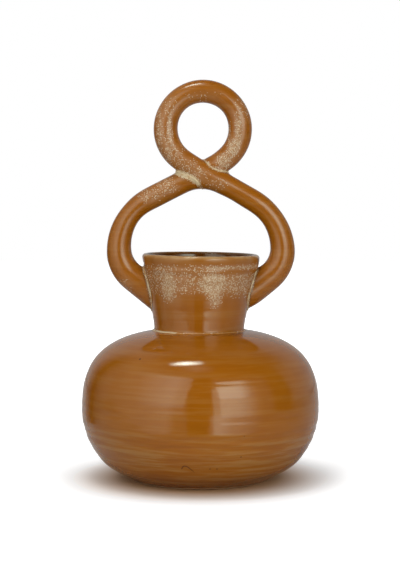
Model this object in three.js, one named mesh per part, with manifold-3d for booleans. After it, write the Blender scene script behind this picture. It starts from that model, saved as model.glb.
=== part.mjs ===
// Glazed stoneware vase. Millimetres, +Z up.
// A wheel-thrown globe carries a wheel-thrown, flared neck. One rolled coil
// springs from both sides of the neck, crosses itself above the mouth and
// closes in a loop. Slip, which is liquid clay, lutes the three pieces together.
// The origin is the centre of the foot, on the surface that the vase stands on.
// The neck faces +Z, and the handle lies in the XZ plane.

import * as THREE from 'three';
import { mergeVertices } from 'three/addons/utils/BufferGeometryUtils.js';
import Module from 'manifold-3d';

// Globe
const BODY_RADIUS = 90;
const BELLY_HEIGHT = 53.2; // of the widest place
const SHOULDER_HEIGHT = 112.2; // of the flat seat that the neck stands on
const SHOULDER_SQUARENESS = 2.83; // 2 would be an ellipse, more is fuller
const HAUNCH_SQUARENESS = 2.28;
const BODY_WALL = 6;
const FLOOR_THICKNESS = 7;
const FOOT_RADIUS = 54.7;
const FOOT_RING_WIDTH = 9;
const FOOT_RECESS = 2.5; // how far the base is turned out inside the foot ring
const FOOT_BEVEL = 1.2;

// Neck
const NECK_FOOT_RADIUS = 34.3;
const NECK_RIM_RADIUS = 44.6;
const NECK_HEIGHT = 57.8;
const NECK_FLARE_POWER = 1.2; // 1 would be a straight cone, more starts upright
const NECK_WALL = 5;
const GROOVE_DROPS = [8.7, 14.8]; // throwing grooves, below the top of the rim
const GROOVE_DEPTH = 0.6;
const GROOVE_HALF_WIDTH = 1.8;

// Handle, measured on the centreline of its coil
const ARM_STANDOFF = 17.8; // from the rim out to an arm's widest place
const ARM_RISE = 3.1; // of that widest place above the rim
const LOWER_BEND = 25.8;
const UPPER_BEND = 43.3;
const STUB_SLOPE = THREE.MathUtils.degToRad(36.5); // of the straight stub out of the neck
const CROSSING_RUN = 60; // straight stretch from an arm's bend to the loop
const CROSSING_LAP = 2.3; // front to back, between the two strands that cross
const LAP_FADE = 45; // height over which the strands come back to the middle plane
const LOOP_RADIUS = 28.4;
const LOOP_OFFSET = 2; // of the hand-bent loop, to the right of the axis
const ARM_COIL_RADIUS = 8.4;
const LOOP_COIL_RADIUS = 8.6;
const ROOT_COIL_RADIUS = 12.3; // where the coil's centreline would end inside the neck
const ROOT_SWELL_LENGTH = 90; // from there to where the coil is down to its arm's radius
const ROOT_SWELL_POWER = 1.5;

// Slip joints
const SLIP_BED = 0.8; // between the neck and the globe
const ROOT_BED = 1.1; // between a handle root and the neck
const SEAM_BEAD = 1.6;
const ROOT_BEAD = 1.6;
const CROSSING_BEAD = 2.2;
const FIT_GAP = 0.3; // between curved faces that meet

// Facets
const TURN_SEGMENTS = 48;
const CURVE_STEPS = 13;
const HOLLOW_STEPS = 9;
const NECK_STEPS = 6;
const LIP_STEPS = 6;
const BEAD_STEPS = 4;
const STRAND_STEPS = 46;
const COIL_SIDES = 14;
const BEAD_STATIONS = 28;
const BEAD_SIDES = 8;
const WALL_SEARCH_STEPS = 40;

// Finishes
const AMBER_GLAZE = 0x8f5a24;
const CREAM_SLIP = 0xbda287;
const GLAZE_ROUGHNESS = 0.15;
const SLIP_ROUGHNESS = 0.45;

// Heights and radii that follow from the sizes above
const NECK_FOOT = SHOULDER_HEIGHT + SLIP_BED;
const RIM_HEIGHT = NECK_FOOT + NECK_HEIGHT;
const LIP_RADIUS = NECK_WALL / 2;
const LIP_HEIGHT = RIM_HEIGHT - LIP_RADIUS;
const MOUTH_RADIUS = NECK_FOOT_RADIUS - NECK_WALL;
const BEAD_INNER_RADIUS = neckRadius(NECK_FOOT + SEAM_BEAD) + FIT_GAP;
const SEAT_RADIUS = BEAD_INNER_RADIUS + SEAM_BEAD;
const ARM_REACH = NECK_RIM_RADIUS + ARM_STANDOFF;
const ARM_HEIGHT = RIM_HEIGHT + ARM_RISE;
const RIGHT = 1;
const LEFT = -1;

// The loop stands where the right arm's straight run, tangent to both bends, brings it.
const BEND_SUM = UPPER_BEND + LOOP_RADIUS;
const RUN_ANGLE = Math.acos((LOOP_OFFSET - ARM_REACH + UPPER_BEND) / Math.hypot(BEND_SUM, CROSSING_RUN))
  - Math.atan2(CROSSING_RUN, BEND_SUM);
const LOOP_HEIGHT = ARM_HEIGHT + BEND_SUM * Math.sin(RUN_ANGLE) + CROSSING_RUN * Math.cos(RUN_ANGLE);

const wasm = await Module();
wasm.setup();

// Solid of revolution about Z from a profile of (radius, height) points.
function turned(profile) {
  const geometry = new THREE.LatheGeometry(profile, TURN_SEGMENTS);
  return geometry.rotateX(Math.PI / 2);
}

// Closed skin through equal rings of points. A run that isn't a loop gets flat ends.
function skinned(rings, isLoop) {
  const sides = rings[0].length;
  const corners = rings.flat().flatMap((point) => point.toArray());
  const faces = [];
  const spans = isLoop ? rings.length : rings.length - 1;
  for (let span = 0; span < spans; span++) {
    const here = span * sides;
    const next = ((span + 1) % rings.length) * sides;
    for (let side = 0; side < sides; side++) {
      const across = (side + 1) % sides;
      faces.push(here + side, here + across, next + side);
      faces.push(here + across, next + across, next + side);
    }
  }
  if (!isLoop) {
    const last = spans * sides;
    for (let side = 1; side < sides - 1; side++) {
      faces.push(0, side + 1, side);
      faces.push(last, last + side, last + side + 1);
    }
  }
  const geometry = new THREE.BufferGeometry();
  geometry.setAttribute('position', new THREE.Float32BufferAttribute(corners, 3));
  geometry.setIndex(faces);
  return geometry;
}

// A closed geometry as a solid that can be joined and cut.
function toSolid(geometry) {
  const bare = geometry.clone();
  bare.deleteAttribute('normal');
  bare.deleteAttribute('uv');
  const merged = mergeVertices(bare);
  const index = merged.index.array;
  const triangles = [];
  for (let i = 0; i < index.length; i += 3) {
    const [a, b, c] = index.slice(i, i + 3);
    const isSliver = a === b || b === c || c === a;
    if (!isSliver) triangles.push(a, b, c);
  }
  return new wasm.Manifold(new wasm.Mesh({
    numProp: 3,
    vertProperties: new Float32Array(merged.attributes.position.array),
    triVerts: new Uint32Array(triangles),
  }));
}

function toGeometry(solid) {
  const { vertProperties, triVerts } = solid.getMesh();
  const geometry = new THREE.BufferGeometry();
  geometry.setAttribute('position', new THREE.BufferAttribute(vertProperties, 3));
  geometry.setIndex(new THREE.BufferAttribute(triVerts, 1));
  geometry.computeVertexNormals();
  return geometry;
}

// Arc of a superellipse that leaves the belly upright at its full radius and
// comes in to endRadius at endHeight, above or below the belly.
function bellyArc(radius, endRadius, endHeight, squareness, steps) {
  const endAngle = Math.acos((endRadius / radius) ** (squareness / 2));
  const crown = (endHeight - BELLY_HEIGHT) / Math.sin(endAngle) ** (2 / squareness);
  const points = [];
  for (let step = 0; step <= steps; step++) {
    const angle = (endAngle * step) / steps;
    const out = radius * Math.cos(angle) ** (2 / squareness);
    const up = BELLY_HEIGHT + crown * Math.sin(angle) ** (2 / squareness);
    points.push(new THREE.Vector2(out, up));
  }
  return points;
}

// Globe: a recessed base in a foot ring, full haunches, a flat seat round the
// mouth, and a hollow whose wall thickens towards the foot.
function thrownBody() {
  const hollowRadius = BODY_RADIUS - BODY_WALL;
  const floorHeight = FOOT_RECESS + FLOOR_THICKNESS;
  const ceilingHeight = SHOULDER_HEIGHT - BODY_WALL;
  const ringInside = FOOT_RADIUS - FOOT_RING_WIDTH;
  const haunch = bellyArc(BODY_RADIUS, FOOT_RADIUS, FOOT_BEVEL, HAUNCH_SQUARENESS, CURVE_STEPS);
  const shoulder = bellyArc(BODY_RADIUS, SEAT_RADIUS, SHOULDER_HEIGHT, SHOULDER_SQUARENESS, CURVE_STEPS);
  const ceiling = bellyArc(hollowRadius, SEAT_RADIUS, ceilingHeight, SHOULDER_SQUARENESS, HOLLOW_STEPS);
  const floor = bellyArc(hollowRadius, FOOT_RADIUS, floorHeight, HAUNCH_SQUARENESS, HOLLOW_STEPS);
  return turned([
    new THREE.Vector2(0, FOOT_RECESS),
    new THREE.Vector2(ringInside - FOOT_RECESS, FOOT_RECESS),
    new THREE.Vector2(ringInside, 0),
    new THREE.Vector2(FOOT_RADIUS - FOOT_BEVEL, 0),
    ...haunch.reverse(),
    ...shoulder.slice(1),
    new THREE.Vector2(MOUTH_RADIUS, SHOULDER_HEIGHT),
    new THREE.Vector2(MOUTH_RADIUS, ceilingHeight),
    ...ceiling.reverse(),
    ...floor.slice(1),
    new THREE.Vector2(0, floorHeight),
  ]);
}

// Outer radius of the neck at a height, without its grooves.
function neckRadius(height) {
  const climb = THREE.MathUtils.clamp((height - NECK_FOOT) / (LIP_HEIGHT - NECK_FOOT), 0, 1);
  return NECK_FOOT_RADIUS + (NECK_RIM_RADIUS - NECK_FOOT_RADIUS) * climb ** NECK_FLARE_POWER;
}

function neckWallPoints(fromHeight, toHeight, inset) {
  const points = [];
  for (let step = 0; step <= NECK_STEPS; step++) {
    const height = THREE.MathUtils.lerp(fromHeight, toHeight, step / NECK_STEPS);
    points.push(new THREE.Vector2(neckRadius(height) - inset, height));
  }
  return points;
}

// Neck: an open flared collar with a rounded lip and two throwing grooves.
function thrownNeck() {
  const lowestGroove = RIM_HEIGHT - Math.max(...GROOVE_DROPS);
  const outside = neckWallPoints(NECK_FOOT, lowestGroove - GROOVE_HALF_WIDTH, 0);
  const grooves = [...GROOVE_DROPS].sort((a, b) => b - a);
  for (const drop of grooves) {
    const middle = RIM_HEIGHT - drop;
    const below = middle - GROOVE_HALF_WIDTH;
    const above = middle + GROOVE_HALF_WIDTH;
    if (drop !== grooves[0]) outside.push(new THREE.Vector2(neckRadius(below), below));
    outside.push(new THREE.Vector2(neckRadius(middle) - GROOVE_DEPTH, middle));
    outside.push(new THREE.Vector2(neckRadius(above), above));
  }
  const lip = [];
  for (let step = 0; step <= LIP_STEPS; step++) {
    const angle = (Math.PI * step) / LIP_STEPS;
    const out = NECK_RIM_RADIUS - LIP_RADIUS + LIP_RADIUS * Math.cos(angle);
    lip.push(new THREE.Vector2(out, LIP_HEIGHT + LIP_RADIUS * Math.sin(angle)));
  }
  const inside = neckWallPoints(LIP_HEIGHT, NECK_FOOT, NECK_WALL);
  return turned([...outside, ...lip, ...inside.slice(1), outside[0].clone()]);
}

// The neck's outer form, grown by a margin and solid to the axis, as a cutter.
function neckCutter(margin) {
  return toSolid(turned([
    new THREE.Vector2(0, NECK_FOOT),
    ...neckWallPoints(NECK_FOOT, LIP_HEIGHT, -margin),
    new THREE.Vector2(0, LIP_HEIGHT),
  ]));
}

// Slip under the neck's foot, with the bead that was squeezed out round it.
function neckSeamSlip() {
  const bead = [];
  for (let step = 0; step <= BEAD_STEPS; step++) {
    const angle = (Math.PI / 2) * (step / BEAD_STEPS);
    const out = BEAD_INNER_RADIUS + SEAM_BEAD * Math.cos(angle);
    bead.push(new THREE.Vector2(out, SHOULDER_HEIGHT + (SLIP_BED + SEAM_BEAD) * Math.sin(angle)));
  }
  const inner = new THREE.Vector2(MOUTH_RADIUS, SHOULDER_HEIGHT);
  return turned([
    inner,
    ...bead,
    new THREE.Vector2(BEAD_INNER_RADIUS, NECK_FOOT),
    new THREE.Vector2(MOUTH_RADIUS, NECK_FOOT),
    inner.clone(),
  ]);
}

// Angle at which one arm's upper bend lets go for the straight run to the loop.
function runAngle(side) {
  const reach = new THREE.Vector2(side * LOOP_OFFSET - ARM_REACH + UPPER_BEND, LOOP_HEIGHT - ARM_HEIGHT);
  return reach.angle() - Math.acos(BEND_SUM / reach.length());
}

// Height at which the right arm's run passes through the loop's middle.
function crossingHeight() {
  const start = ARM_REACH - UPPER_BEND + UPPER_BEND * Math.cos(RUN_ANGLE);
  const along = (start - LOOP_OFFSET) / Math.sin(RUN_ANGLE);
  return ARM_HEIGHT + UPPER_BEND * Math.sin(RUN_ANGLE) + along * Math.cos(RUN_ANGLE);
}

// Half of the coil's centreline as (out, up), from inside the neck to the top of the
// loop, drawn for the right-hand side. It is a stub, two bends, a run and half the loop.
function strandPath(side) {
  const lowerCentre = ARM_REACH - LOWER_BEND;
  const bendStart = STUB_SLOPE - Math.PI / 2;
  const bendOut = lowerCentre + LOWER_BEND * Math.cos(bendStart);
  const bendUp = ARM_HEIGHT + LOWER_BEND * Math.sin(bendStart);
  const rootOut = NECK_FOOT_RADIUS - ROOT_COIL_RADIUS;
  const angle = runAngle(side);
  const path = new THREE.Path();
  path.moveTo(rootOut, bendUp - (bendOut - rootOut) * Math.tan(STUB_SLOPE));
  path.lineTo(bendOut, bendUp);
  path.absarc(lowerCentre, ARM_HEIGHT, LOWER_BEND, bendStart, 0, false);
  path.absarc(ARM_REACH - UPPER_BEND, ARM_HEIGHT, UPPER_BEND, 0, angle, false);
  path.absarc(side * LOOP_OFFSET, LOOP_HEIGHT, LOOP_RADIUS, angle + Math.PI, Math.PI / 2, true);
  return path;
}

// Radius of the coil at a distance along its strand and at a height.
function coilRadius(distance, height) {
  const swell = Math.max(0, 1 - distance / ROOT_SWELL_LENGTH) ** ROOT_SWELL_POWER;
  const climb = THREE.MathUtils.clamp((height - ARM_HEIGHT) / (LOOP_HEIGHT - ARM_HEIGHT), 0, 1);
  const plain = THREE.MathUtils.lerp(ARM_COIL_RADIUS, LOOP_COIL_RADIUS, climb);
  return plain + (ROOT_COIL_RADIUS - ARM_COIL_RADIUS) * swell;
}

// Distance of a strand from the middle plane: the right one passes in front.
function strandDepth(side, height) {
  const away = Math.min(1, Math.abs(height - crossingHeight()) / LAP_FADE);
  return -side * (CROSSING_LAP / 4) * (1 + Math.cos(Math.PI * away));
}

// A point on a strand's skin, at a share of its length and an angle round it.
function strandPoint(side, path, share, around, margin) {
  const isTop = share === 1;
  const loopTop = new THREE.Vector2(side * LOOP_OFFSET, LOOP_HEIGHT + LOOP_RADIUS);
  const level = new THREE.Vector2(1, 0);
  const middle = isTop ? loopTop : path.getPointAt(share);
  const along = isTop ? level : path.getTangentAt(share);
  const radius = coilRadius(share * path.getLength(), middle.y) + margin;
  const out = middle.x - along.y * radius * Math.cos(around);
  const up = middle.y + along.x * radius * Math.cos(around);
  const back = strandDepth(side, middle.y) + radius * Math.sin(around);
  return new THREE.Vector3(side * out, back, up);
}

// One half of the coil as a solid, grown by a margin.
function strand(side, margin) {
  const path = strandPath(side);
  const rings = [];
  for (let step = 0; step <= STRAND_STEPS; step++) {
    const ring = [];
    for (let corner = 0; corner < COIL_SIDES; corner++) {
      const around = -side * (2 * Math.PI * corner) / COIL_SIDES;
      ring.push(strandPoint(side, path, step / STRAND_STEPS, around, margin));
    }
    rings.push(ring);
  }
  return toSolid(skinned(rings, false));
}

// Handle: the two halves of the coil, pressed into one where they cross, with
// both roots cut to the neck's curve and held off it by a bed of slip.
function coilHandle() {
  return strand(RIGHT, 0).add(strand(LEFT, 0)).subtract(neckCutter(ROOT_BED));
}

// Round bead along a closed line of points, seen from a middle point.
function beadAlong(line, middle, radius) {
  const rings = line.map((point, index) => {
    const before = line[(index + line.length - 1) % line.length];
    const after = line[(index + 1) % line.length];
    const along = after.clone().sub(before).normalize();
    const outward = point.clone().sub(middle).projectOnPlane(along).normalize();
    const sideways = along.clone().cross(outward);
    const ring = [];
    for (let corner = 0; corner < BEAD_SIDES; corner++) {
      const around = (2 * Math.PI * corner) / BEAD_SIDES;
      ring.push(point.clone()
        .addScaledVector(outward, radius * Math.cos(around))
        .addScaledVector(sideways, radius * Math.sin(around)));
    }
    return ring;
  });
  return toSolid(skinned(rings, true));
}

// Share of a strand's length at which a line along its skin comes out of the neck.
function wallShare(side, path, around) {
  let inside = 0;
  let outside = 1 / 2;
  for (let step = 0; step < WALL_SEARCH_STEPS; step++) {
    const share = (inside + outside) / 2;
    const point = strandPoint(side, path, share, around, 0);
    const isInside = Math.hypot(point.x, point.y) < neckRadius(point.z) + ROOT_BED / 2;
    if (isInside) inside = share;
    else outside = share;
  }
  return outside;
}

// Slip at a handle root: a thin bed behind the coil's end and a bead all round it.
function rootSlip(side) {
  const path = strandPath(side);
  const line = [];
  const middle = new THREE.Vector3();
  for (let station = 0; station < BEAD_STATIONS; station++) {
    const around = (2 * Math.PI * station) / BEAD_STATIONS;
    const point = strandPoint(side, path, wallShare(side, path, around), around, 0);
    line.push(point);
    middle.addScaledVector(point, 1 / BEAD_STATIONS);
  }
  const bedFace = neckCutter(ROOT_BED - FIT_GAP);
  const coilEnd = strand(side, FIT_GAP).subtract(bedFace);
  const bed = strand(side, 0).intersect(bedFace);
  return beadAlong(line, middle, ROOT_BEAD).add(bed).subtract(coilEnd).subtract(neckCutter(FIT_GAP));
}

// Line along which the skins of the two crossing strands meet. Each point is found from
// its offsets across the front strand and across the back strand, seen from the front.
function crossingLine() {
  const radius = (ARM_COIL_RADIUS + LOOP_COIL_RADIUS) / 2;
  const front = runAngle(RIGHT);
  const back = runAngle(LEFT);
  const start = Math.asin(CROSSING_LAP / radius - 1);
  const line = [];
  for (let station = 0; station < BEAD_STATIONS; station++) {
    const turn = (2 * Math.PI * station) / BEAD_STATIONS;
    const around = start + (Math.PI - 2 * start) * (1 - Math.cos(turn)) / 2;
    const branch = turn < Math.PI ? 1 : -1;
    const depth = radius * Math.sin(around) - CROSSING_LAP / 2;
    const acrossFront = radius * Math.cos(around);
    const acrossBack = branch * Math.sqrt(Math.max(0, radius ** 2 - (depth - CROSSING_LAP / 2) ** 2));
    const share = Math.sin(front + back);
    const right = (acrossFront * Math.sin(back) - acrossBack * Math.sin(front)) / share;
    const up = (acrossFront * Math.cos(back) + acrossBack * Math.cos(front)) / share;
    line.push(new THREE.Vector3(LOOP_OFFSET + right, depth, crossingHeight() + up));
  }
  return line;
}

// Slip bead that fills the crease round the crossing.
function crossingSlip() {
  const middle = new THREE.Vector3(LOOP_OFFSET, 0, crossingHeight());
  return beadAlong(crossingLine(), middle, CROSSING_BEAD)
    .subtract(strand(RIGHT, FIT_GAP))
    .subtract(strand(LEFT, FIT_GAP));
}

function piece(name, geometry, color, roughness) {
  const material = new THREE.MeshStandardMaterial({ color, roughness, metalness: 0 });
  const mesh = new THREE.Mesh(geometry, material);
  mesh.name = name;
  return mesh;
}

const vase = new THREE.Group();
vase.add(piece('thrown_body', thrownBody(), AMBER_GLAZE, GLAZE_ROUGHNESS));
vase.add(piece('thrown_neck', thrownNeck(), AMBER_GLAZE, GLAZE_ROUGHNESS));
vase.add(piece('coil_handle', toGeometry(coilHandle()), AMBER_GLAZE, GLAZE_ROUGHNESS));
vase.add(piece('neck_seam_slip', neckSeamSlip(), CREAM_SLIP, SLIP_ROUGHNESS));
vase.add(piece('right_root_slip', toGeometry(rootSlip(RIGHT)), CREAM_SLIP, SLIP_ROUGHNESS));
vase.add(piece('left_root_slip', toGeometry(rootSlip(LEFT)), CREAM_SLIP, SLIP_ROUGHNESS));
vase.add(piece('crossing_slip', toGeometry(crossingSlip()), CREAM_SLIP, SLIP_ROUGHNESS));

export default vase;
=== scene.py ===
# %% [markdown]
# A glazed stoneware vase, dressed over its solid model.
# The real vase is fired pottery: a thrown globe, a thrown neck and one rolled coil that crosses
# itself and closes in a loop. Slip, which is liquid clay, joins them, and an amber glaze covers all.
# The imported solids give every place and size, so they are loaded first and are never moved.
# Each piece below is a finer skin that takes the place of one solid.

# %% Load the frame
import math
import bmesh
import bpy
import numpy as np
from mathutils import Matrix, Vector
from mathutils.kdtree import KDTree


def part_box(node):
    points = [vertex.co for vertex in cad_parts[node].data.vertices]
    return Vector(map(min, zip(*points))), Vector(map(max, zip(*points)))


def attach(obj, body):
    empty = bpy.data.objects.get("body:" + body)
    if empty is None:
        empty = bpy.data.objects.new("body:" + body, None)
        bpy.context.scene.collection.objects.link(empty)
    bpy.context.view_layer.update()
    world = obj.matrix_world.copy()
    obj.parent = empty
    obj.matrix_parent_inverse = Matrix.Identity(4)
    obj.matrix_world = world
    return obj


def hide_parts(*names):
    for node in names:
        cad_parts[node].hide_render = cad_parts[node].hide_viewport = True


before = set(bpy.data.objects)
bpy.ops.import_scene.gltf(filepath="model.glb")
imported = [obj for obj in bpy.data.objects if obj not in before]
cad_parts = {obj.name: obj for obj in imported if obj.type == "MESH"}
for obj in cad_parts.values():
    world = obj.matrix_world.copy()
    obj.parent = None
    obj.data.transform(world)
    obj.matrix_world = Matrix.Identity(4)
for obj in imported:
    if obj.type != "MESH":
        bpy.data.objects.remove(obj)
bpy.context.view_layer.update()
MM = 0.001
print("solids in the frame:", ", ".join(sorted(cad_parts)))

# %% [markdown]
# Sizes are in millimetres. The large ones are read from the solids' boxes, so that the skins follow
# the solids. The rest are the few that a potter would note down: walls, bends and coil radii.

# %% Sizes that the frame gives
def box_mm(node):
    low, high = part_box(node)
    return np.array(low) / MM, np.array(high) / MM


body_low, body_high = box_mm("thrown_body")
neck_low, neck_high = box_mm("thrown_neck")
BODY_RADIUS = (body_high[0] - body_low[0]) / 2
SEAT_HEIGHT = body_high[2]
NECK_FOOT = neck_low[2]
RIM_HEIGHT = neck_high[2]
RIM_RADIUS = (neck_high[0] - neck_low[0]) / 2
HANDLE_TOP = box_mm("coil_handle")[1][2]
print(f"globe {2 * BODY_RADIUS:.0f} mm across, rim at {RIM_HEIGHT:.1f} mm, loop up to {HANDLE_TOP:.1f} mm")

# %% [markdown]
# Nothing made by hand repeats: rings, coils and beads wander by a few tenths of a millimetre.
# A bump in the material could fake that, but then the outline would stay perfect. So the points
# themselves are moved, by a smooth curve through seeded values that is the same on every run.

# %% Hand-made wander
def wander(seed, pitch, count=256):
    """A smooth curve from -1 to 1 with a new value every pitch, repeating after count of them."""
    knots = np.random.default_rng(seed).uniform(-1, 1, count)

    def curve(distance):
        step = np.asarray(distance, float) / pitch
        before = np.floor(step).astype(int)
        share = step - before
        share = share * share * (3 - 2 * share)
        return knots[before % count] * (1 - share) + knots[(before + 1) % count] * share

    return curve


print("a wander of 1 mm pitch, at every mm:", np.round(wander(seed=1, pitch=1.0)(np.arange(5)), 2))

# %% [markdown]
# A contour is first drawn with its true corners. Clay and glaze have no sharp ones, so the contour
# is walked in even steps and blurred by less than a millimetre, which rounds each corner alike.

# %% Soft contours
def softened(line, spacing, blur):
    """Even points along a line of points, with the corners rounded by about the blur, in mm."""
    line = np.asarray(line, float)
    lengths = np.linalg.norm(np.diff(line, axis=0), axis=1)
    along = np.concatenate([[0], np.cumsum(lengths)])
    even = np.linspace(0, along[-1], int(along[-1] / spacing) + 1)
    points = np.stack([np.interp(even, along, column) for column in line.T], axis=1)
    reach = int(3 * blur / spacing) + 1
    weights = np.exp(-0.5 * (np.arange(-reach, reach + 1) * spacing / blur) ** 2)
    weights /= weights.sum()
    padded = np.pad(points, ((reach, reach), (0, 0)), mode="reflect", reflect_type="odd")
    return np.stack([np.convolve(column, weights, "valid") for column in padded.T], axis=1)


soft_corner = softened([(0, 0), (10, 0), (10, 10)], spacing=1.0, blur=1.0)[10]
print(f"a blur of 1 mm moves a square corner by {math.dist(soft_corner, (10, 0)):.2f} mm")

# %% [markdown]
# Thrown and rolled clay are both rows of rings, so one function skins them all: it joins ring to
# ring with quads, closes the ends and shades the result smooth. The Screw modifier could turn a
# contour as well, but it couldn't press the wandering throwing rings into it.

# %% Skin over rings of points
WELD_M = 1e-7


def full_turn(steps):
    return np.arange(steps) * 2 * math.pi / steps


def unit(vectors):
    return vectors / np.linalg.norm(vectors, axis=-1, keepdims=True)


def skin(name, rings, is_loop=False):
    """A smooth closed mesh over rings of points in mm. A loop joins its last ring to its first."""
    count, sides, _ = rings.shape
    number = np.arange(count * sides).reshape(count, sides)
    here = number if is_loop else number[:-1]
    there = np.roll(number, -1, axis=0) if is_loop else number[1:]
    quads = np.stack([here, np.roll(here, -1, axis=1), np.roll(there, -1, axis=1), there], axis=-1)
    mesh = bpy.data.meshes.new(name)
    mesh.from_pydata((rings.reshape(-1, 3) * MM).tolist(), [], quads.reshape(-1, 4).tolist())
    build = bmesh.new()
    build.from_mesh(mesh)
    bmesh.ops.remove_doubles(build, verts=build.verts, dist=WELD_M)
    bmesh.ops.holes_fill(build, edges=[edge for edge in build.edges if edge.is_boundary])
    bmesh.ops.recalc_face_normals(build, faces=build.faces)
    build.to_mesh(mesh)
    build.free()
    mesh.shade_smooth()
    piece = bpy.data.objects.new(name, mesh)
    bpy.context.scene.collection.objects.link(piece)
    return piece


def turned(name, contour, turns, relief, is_loop=False):
    """Turns a contour of (radius, height) about Z, pressed outwards by relief in mm. One that ends
    where it starts is a loop."""
    angle = full_turn(turns)
    run = np.gradient(contour, axis=0)
    outward = unit(np.stack([run[:, 1], -run[:, 0]], axis=1))
    pressed = contour[:, None, :] + relief(contour, angle)[:, :, None] * outward[:, None, :]
    radius, height = pressed[..., 0], pressed[..., 1]
    return skin(name, np.stack([radius * np.cos(angle), radius * np.sin(angle), height], axis=-1), is_loop)


print(f"points within {WELD_M / MM:g} mm of each other become one")

# %% [markdown]
# A finished skin takes the place of one solid of the frame. The whole vase is one rigid body, so each
# skin rides on that. Its points can still be read and moved, which is needed where joints are
# softened. Sculpting could do that, but not twice alike.

# %% Skins that stand in for solids
def points_mm(piece):
    points = np.empty(len(piece.data.vertices) * 3, np.float32)
    piece.data.vertices.foreach_get("co", points)
    return points.reshape(-1, 3).astype(float) / MM


def move_to(piece, points):
    piece.data.vertices.foreach_set("co", (points * MM).astype(np.float32).ravel())
    piece.data.update()


def stand_in(piece, node):
    """The piece takes the solid's place and moves with it."""
    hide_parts(node)
    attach(piece, "root")
    print(f"{piece.name}: {len(piece.data.vertices)} points in place of {node}")


print("solids to stand in for:", len(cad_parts))

# %% [markdown]
# The globe is thrown on the wheel and turned at the foot. Its outline is two arcs that are fuller
# than an ellipse, above and below the widest place. A sphere could be stretched to it, but the
# shoulder would come out too thin, so the arcs of the solid are drawn again with more steps.

# %% Globe contour
BELLY_HEIGHT = 53.2
SHOULDER_SQUARENESS = 2.83
HAUNCH_SQUARENESS = 2.28
BODY_WALL = 6.0
FLOOR_THICKNESS = 7.0
FOOT_RADIUS = 54.7
FOOT_RING_WIDTH = 9.0
FOOT_RECESS = 2.5
FOOT_BEVEL = 1.2
MOUTH_RADIUS = 29.3
SEAT_RADIUS = 36.4
BELLY_STEPS = 160
OUTSIDE_SPACING, OUTSIDE_BLUR = 0.7, 0.6
HOLLOW_SPACING, HOLLOW_BLUR = 2.5, 2.0


def belly_arc(radius, end_radius, end_height, squareness):
    """From the widest place at this radius, in to the end radius at the end height."""
    power = 2 / squareness
    end_angle = math.acos((end_radius / radius) ** (1 / power))
    crown = (end_height - BELLY_HEIGHT) / math.sin(end_angle) ** power
    angle = np.linspace(0, end_angle, BELLY_STEPS)
    out = radius * np.cos(angle) ** power
    return np.stack([out, BELLY_HEIGHT + crown * np.sin(angle) ** power], axis=1)


ring_inside = FOOT_RADIUS - FOOT_RING_WIDTH
inner_radius, ceiling = BODY_RADIUS - BODY_WALL, SEAT_HEIGHT - BODY_WALL
floor_height = FOOT_RECESS + FLOOR_THICKNESS
outside = softened(np.vstack([
    [(0, FOOT_RECESS), (ring_inside - FOOT_RECESS, FOOT_RECESS), (ring_inside, 0)],
    [(FOOT_RADIUS - FOOT_BEVEL, 0)],
    belly_arc(BODY_RADIUS, FOOT_RADIUS, FOOT_BEVEL, HAUNCH_SQUARENESS)[::-1],
    belly_arc(BODY_RADIUS, SEAT_RADIUS, SEAT_HEIGHT, SHOULDER_SQUARENESS)[1:],
    [(MOUTH_RADIUS, SEAT_HEIGHT)],
]), OUTSIDE_SPACING, OUTSIDE_BLUR)
hollow = softened(np.vstack([
    [(MOUTH_RADIUS, ceiling)],
    belly_arc(inner_radius, SEAT_RADIUS, ceiling, SHOULDER_SQUARENESS)[::-1],
    belly_arc(inner_radius, FOOT_RADIUS, floor_height, HAUNCH_SQUARENESS)[1:],
    [(0, floor_height)],
]), HOLLOW_SPACING, HOLLOW_BLUR)
globe_contour = np.vstack([outside, hollow])
print(f"globe contour: {len(outside)} points outside, {len(hollow)} inside")

# %% [markdown]
# The potter's fingers left rings on the globe: a clear one below the widest place and several
# shallow ones under it. They bend the reflections, so they are pressed into the mesh. A bump could
# bend them too, but not the outline. Each ring rises and falls a little on its way round, because the
# clay was never quite centred. At the belly and low on the haunch the wall is fuller than its arcs.

# %% Throwing rings on the globe
# Each ring: its height, its depth and its half width in mm.
RINGS = [
    (82.2, 0.09, 1.4), (63, 0.04, 2.4), (54.5, 0.10, 2.0), (49, 0.10, 2.0), (40.8, 0.38, 2.2),
    (35, 0.36, 2.0), (27, 0.16, 2.2), (20, 0.18, 2.6)]
RING_SWAY, RING_TWIST = 0.7, 2.1
# Each fuller place: its height, its extra and its half height in mm.
FULLER = [(BELLY_HEIGHT, 0.6, 16.0), (13.0, 0.8, 7.0)]
FINGER_PITCH, FINGER_DEPTH, FINGER_TURN = 9.0, 0.10, 0.5
LINE_PITCH, LINE_DEPTH = 2.4, 0.025
RELIEF_FADE = 8.0
GLOBE_SIDES = 288
finger_wave, finger_turn = (wander(seed, FINGER_PITCH) for seed in (3, 4))
line_wave = wander(seed=5, pitch=LINE_PITCH)


def hump(values, middle, half):
    """1 at the middle, and falls smoothly to about a third at half a width from it."""
    return np.exp(-((values - middle) / half) ** 2)


def globe_relief(contour, angle):
    height = contour[:, 1][:, None]
    is_outside = (np.arange(len(contour)) < len(outside)).astype(float)[:, None]
    fade = np.clip((SEAT_HEIGHT - height) / RELIEF_FADE, 0, 1)
    fade = fade * np.clip((height - FOOT_BEVEL) / RELIEF_FADE, 0, 1)
    relief = FINGER_DEPTH * (finger_wave(height) + FINGER_TURN * finger_turn(height) * np.sin(angle))
    relief = relief + LINE_DEPTH * line_wave(height)
    for middle, extra, half_height in FULLER:
        relief = relief + extra * hump(height, middle, half_height)
    for number, (middle, depth, half_width) in enumerate(RINGS):
        level = middle + RING_SWAY * np.sin(angle + RING_TWIST * number)
        relief = relief - depth * hump(height, level, half_width)
    return relief * fade * is_outside


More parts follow.
